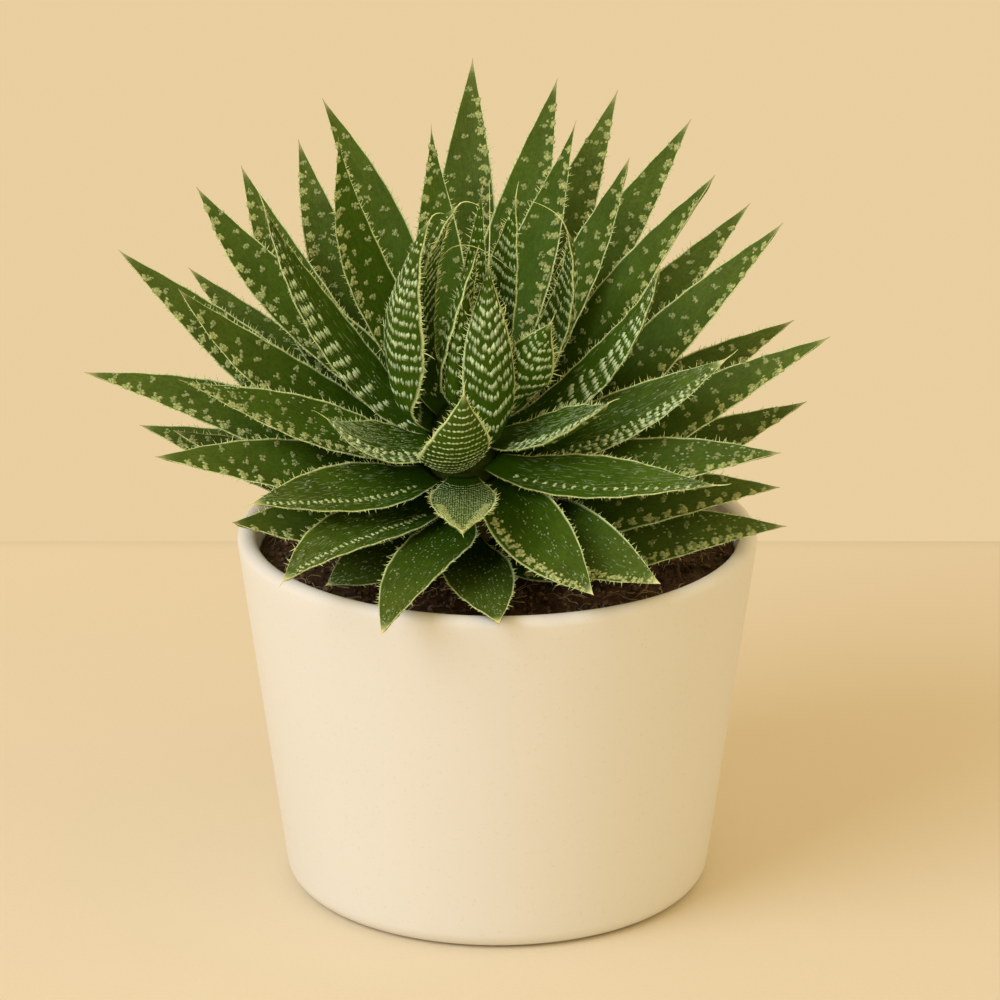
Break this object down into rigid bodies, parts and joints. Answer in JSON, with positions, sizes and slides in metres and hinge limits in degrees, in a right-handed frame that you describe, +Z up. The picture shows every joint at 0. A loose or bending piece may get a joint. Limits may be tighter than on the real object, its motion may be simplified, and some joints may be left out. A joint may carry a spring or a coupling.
{
  "type": "potted lace aloe",
  "caption": "Small lace aloe in a plain tapering pot: a low, dense rosette of tapering, toothed, awn-tipped leaves round an upright inner bulb, leaning a little to the front.",
  "frame": {"origin": "centre of the pot's flat underside, on the surface the pot stands on", "axes": "+Z up along the pot's axis; -Y towards the front, the way the rosette leans; +X to the right as seen from the front"},
  "size_m": [0.1821, 0.1508, 0.1961],
  "materials": {
    "pot": "matte",
    "soil": "matte",
    "stem": "matte",
    "outer_leaf": "satin",
    "middle_leaf": "satin",
    "inner_leaf": "satin",
    "heart": "satin"
  },
  "bodies": {
    "root": {"heart": "heart", "inner_leaf_45": "inner_leaf", "inner_leaf_46": "inner_leaf", "inner_leaf_47": "inner_leaf", "inner_leaf_49": "inner_leaf", "inner_leaf_50": "inner_leaf", "inner_leaf_52": "inner_leaf", "inner_leaf_53": "inner_leaf", "inner_leaf_54": "inner_leaf", "inner_leaf_55": "inner_leaf", "inner_leaf_56": "inner_leaf", "inner_leaf_57": "inner_leaf", "inner_leaf_58": "inner_leaf", "inner_leaf_59": "inner_leaf", "inner_leaf_62": "inner_leaf", "inner_leaf_63": "inner_leaf", "inner_leaf_65": "inner_leaf", "middle_leaf_20": "middle_leaf", "middle_leaf_21": "middle_leaf", "middle_leaf_22": "middle_leaf", "middle_leaf_23": "middle_leaf", "middle_leaf_24": "middle_leaf", "middle_leaf_25": "middle_leaf", "middle_leaf_26": "middle_leaf", "middle_leaf_27": "middle_leaf", "middle_leaf_28": "middle_leaf", "middle_leaf_29": "middle_leaf", "middle_leaf_31": "middle_leaf", "middle_leaf_32": "middle_leaf", "middle_leaf_33": "middle_leaf", "middle_leaf_34": "middle_leaf", "middle_leaf_36": "middle_leaf", "middle_leaf_37": "middle_leaf", "middle_leaf_38": "middle_leaf", "middle_leaf_39": "middle_leaf", "middle_leaf_40": "middle_leaf", "middle_leaf_41": "middle_leaf", "middle_leaf_42": "middle_leaf", "middle_leaf_43": "middle_leaf", "middle_leaf_44": "middle_leaf", "outer_leaf_00": "outer_leaf", "outer_leaf_02": "outer_leaf", "outer_leaf_03": "outer_leaf", "outer_leaf_04": "outer_leaf", "outer_leaf_05": "outer_leaf", "outer_leaf_06": "outer_leaf", "outer_leaf_07": "outer_leaf", "outer_leaf_08": "outer_leaf", "outer_leaf_09": "outer_leaf", "outer_leaf_10": "outer_leaf", "outer_leaf_11": "outer_leaf", "outer_leaf_12": "outer_leaf", "outer_leaf_13": "outer_leaf", "outer_leaf_15": "outer_leaf", "outer_leaf_16": "outer_leaf", "outer_leaf_18": "outer_leaf", "outer_leaf_19": "outer_leaf", "pot": "pot", "soil": "soil", "stem": "stem"}
  },
  "joints": []
}
